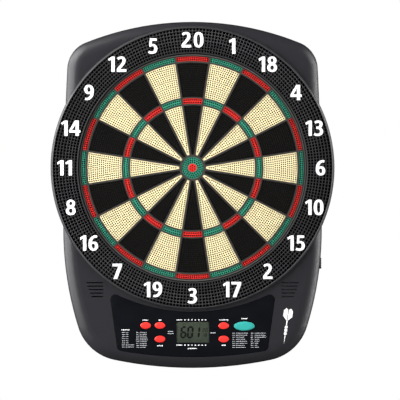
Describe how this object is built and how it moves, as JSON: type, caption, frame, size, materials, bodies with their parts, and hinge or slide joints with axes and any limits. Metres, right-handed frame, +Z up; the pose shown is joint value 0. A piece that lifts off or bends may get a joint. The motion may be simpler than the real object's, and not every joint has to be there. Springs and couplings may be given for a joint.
{
  "type": "electronic dartboard",
  "caption": "Wall-hung electronic dartboard with pressable perforated scoring segments, square-hole number ring, shield-shaped housing and a lower panel with display and buttons.",
  "frame": {"origin": "where the bull's axis meets the wall plane, on the rear cover's flat back", "axes": "+Z up, +X to the player's right, -Y towards the player; +Y points into the wall"},
  "size_m": [0.4371, 0.031, 0.5339],
  "materials": {
    "housing_plastic": "satin charcoal, fine texture",
    "ring_plastic": "semi-gloss dark grey grid",
    "web_plastic": "satin grey",
    "segment_black": "satin",
    "segment_cream": "satin",
    "segment_red": "satin",
    "segment_green": "satin",
    "cover_plastic": "fine texture",
    "panel_gloss": "glossy",
    "print_white": "printed ink",
    "lcd_clear": "clear acrylic",
    "lcd_face": "grey-green display",
    "lcd_ink": "dark display segments",
    "button_red": "satin",
    "button_teal": "satin",
    "board_fibre": "hardboard",
    "mat_rubber": "foam rubber",
    "film": "printed film",
    "pcb_green": "solder mask",
    "chip_black": "epoxy",
    "silicone": "silicone",
    "steel": "zinc plated",
    "cell_wrap": "battery wrap",
    "switch_black": "fine texture",
    "speaker_black": "painted"
  },
  "bodies": {
    "root": {"front_housing": "housing_plastic", "catch_ring": "ring_plastic", "spider": "web_plastic", "rear_cover": "cover_plastic", "control_panel": "panel_gloss", "lcd_module": "lcd_face", "lcd_window": "lcd_clear", "backing_board": "board_fibre", "rubber_mat": "mat_rubber", "sensor_membrane": "film", "sensor_tail": "film", "main_pcb": "pcb_green", "controller_chip": "chip_black", "keypad_mat": "silicone", "pcb_screws": "steel", "speaker": "speaker_black", "cover_screws": "steel", "spider_screws": "steel", "aa_cells": "cell_wrap", "battery_plates": "steel", "battery_springs": "steel", "power_switch_body": "switch_black"},
    "number_01": {"segments_01": "segment_cream"},
    "number_02": {"segments_02": "segment_black"},
    "number_03": {"segments_03": "segment_black"},
    "number_04": {"segments_04": "segment_cream"},
    "number_05": {"segments_05": "segment_cream"},
    "number_06": {"segments_06": "segment_cream"},
    "number_07": {"segments_07": "segment_black"},
    "number_08": {"segments_08": "segment_black"},
    "number_09": {"segments_09": "segment_cream"},
    "number_10": {"segments_10": "segment_black"},
    "number_11": {"segments_11": "segment_cream"},
    "number_12": {"segments_12": "segment_black"},
    "number_13": {"segments_13": "segment_black"},
    "number_14": {"segments_14": "segment_black"},
    "number_15": {"segments_15": "segment_cream"},
    "number_16": {"segments_16": "segment_cream"},
    "number_17": {"segments_17": "segment_cream"},
    "number_18": {"segments_18": "segment_black"},
    "number_19": {"segments_19": "segment_cream"},
    "number_20": {"segments_20": "segment_black"},
    "bull_outer": {"outer_bull": "segment_green"},
    "bull_inner": {"inner_bull": "segment_red"},
    "button_player_cap": {"button_player": "button_red"},
    "button_option_cap": {"button_option": "button_red"},
    "button_start_cap": {"button_start": "button_red"},
    "button_select_cap": {"button_select": "button_red"},
    "button_enter_cap": {"button_enter": "button_red"},
    "button_next_cap": {"button_next": "button_teal"},
    "power_slider": {"power_switch_knob": "switch_black"},
    "battery_hatch": {"battery_door": "cover_plastic"}
  },
  "joints": [
    {"name": "press_01", "type": "slide", "parent": "root", "child": "number_01", "axis": [0, 1, 0], "range_m": [0, 0.0012], "stiffness_N_per_m": 900},
    {"name": "press_02", "type": "slide", "parent": "root", "child": "number_02", "axis": [0, 1, 0], "range_m": [0, 0.0012], "stiffness_N_per_m": 900},
    {"name": "press_03", "type": "slide", "parent": "root", "child": "number_03", "axis": [0, 1, 0], "range_m": [0, 0.0012], "stiffness_N_per_m": 900},
    {"name": "press_04", "type": "slide", "parent": "root", "child": "number_04", "axis": [0, 1, 0], "range_m": [0, 0.0012], "stiffness_N_per_m": 900},
    {"name": "press_05", "type": "slide", "parent": "root", "child": "number_05", "axis": [0, 1, 0], "range_m": [0, 0.0012], "stiffness_N_per_m": 900},
    {"name": "press_06", "type": "slide", "parent": "root", "child": "number_06", "axis": [0, 1, 0], "range_m": [0, 0.0012], "stiffness_N_per_m": 900},
    {"name": "press_07", "type": "slide", "parent": "root", "child": "number_07", "axis": [0, 1, 0], "range_m": [0, 0.0012], "stiffness_N_per_m": 900},
    {"name": "press_08", "type": "slide", "parent": "root", "child": "number_08", "axis": [0, 1, 0], "range_m": [0, 0.0012], "stiffness_N_per_m": 900},
    {"name": "press_09", "type": "slide", "parent": "root", "child": "number_09", "axis": [0, 1, 0], "range_m": [0, 0.0012], "stiffness_N_per_m": 900},
    {"name": "press_10", "type": "slide", "parent": "root", "child": "number_10", "axis": [0, 1, 0], "range_m": [0, 0.0012], "stiffness_N_per_m": 900},
    {"name": "press_11", "type": "slide", "parent": "root", "child": "number_11", "axis": [0, 1, 0], "range_m": [0, 0.0012], "stiffness_N_per_m": 900},
    {"name": "press_12", "type": "slide", "parent": "root", "child": "number_12", "axis": [0, 1, 0], "range_m": [0, 0.0012], "stiffness_N_per_m": 900},
    {"name": "press_13", "type": "slide", "parent": "root", "child": "number_13", "axis": [0, 1, 0], "range_m": [0, 0.0012], "stiffness_N_per_m": 900},
    {"name": "press_14", "type": "slide", "parent": "root", "child": "number_14", "axis": [0, 1, 0], "range_m": [0, 0.0012], "stiffness_N_per_m": 900},
    {"name": "press_15", "type": "slide", "parent": "root", "child": "number_15", "axis": [0, 1, 0], "range_m": [0, 0.0012], "stiffness_N_per_m": 900},
    {"name": "press_16", "type": "slide", "parent": "root", "child": "number_16", "axis": [0, 1, 0], "range_m": [0, 0.0012], "stiffness_N_per_m": 900},
    {"name": "press_17", "type": "slide", "parent": "root", "child": "number_17", "axis": [0, 1, 0], "range_m": [0, 0.0012], "stiffness_N_per_m": 900},
    {"name": "press_18", "type": "slide", "parent": "root", "child": "number_18", "axis": [0, 1, 0], "range_m": [0, 0.0012], "stiffness_N_per_m": 900},
    {"name": "press_19", "type": "slide", "parent": "root", "child": "number_19", "axis": [0, 1, 0], "range_m": [0, 0.0012], "stiffness_N_per_m": 900},
    {"name": "press_20", "type": "slide", "parent": "root", "child": "number_20", "axis": [0, 1, 0], "range_m": [0, 0.0012], "stiffness_N_per_m": 900},
    {"name": "press_bull_outer", "type": "slide", "parent": "root", "child": "bull_outer", "axis": [0, 1, 0], "range_m": [0, 0.0012], "stiffness_N_per_m": 900},
    {"name": "press_bull_inner", "type": "slide", "parent": "root", "child": "bull_inner", "axis": [0, 1, 0], "range_m": [0, 0.0012], "stiffness_N_per_m": 900},
    {"name": "press_button_player", "type": "slide", "parent": "root", "child": "button_player_cap", "axis": [0, 1, 0], "range_m": [0, 0.0009], "stiffness_N_per_m": 900},
    {"name": "press_button_option", "type": "slide", "parent": "root", "child": "button_option_cap", "axis": [0, 1, 0], "range_m": [0, 0.0009], "stiffness_N_per_m": 900},
    {"name": "press_button_start", "type": "slide", "parent": "root", "child": "button_start_cap", "axis": [0, 1, 0], "range_m": [0, 0.0009], "stiffness_N_per_m": 900},
    {"name": "press_button_select", "type": "slide", "parent": "root", "child": "button_select_cap", "axis": [0, 1, 0], "range_m": [0, 0.0009], "stiffness_N_per_m": 900},
    {"name": "press_button_enter", "type": "slide", "parent": "root", "child": "button_enter_cap", "axis": [0, 1, 0], "range_m": [0, 0.0009], "stiffness_N_per_m": 900},
    {"name": "press_button_next", "type": "slide", "parent": "root", "child": "button_next_cap", "axis": [0, 1, 0], "range_m": [0, 0.0009], "stiffness_N_per_m": 900},
    {"name": "power_slide", "type": "slide", "parent": "root", "child": "power_slider", "axis": [0, 0, 1], "range_m": [0, 0.003]},
    {"name": "battery_door_hinge", "type": "hinge", "parent": "root", "child": "battery_hatch", "pos_m": [-0.12, -0.001, -0.2272], "axis": [1, 0, 0], "range_deg": [0, 50]}
  ]
}
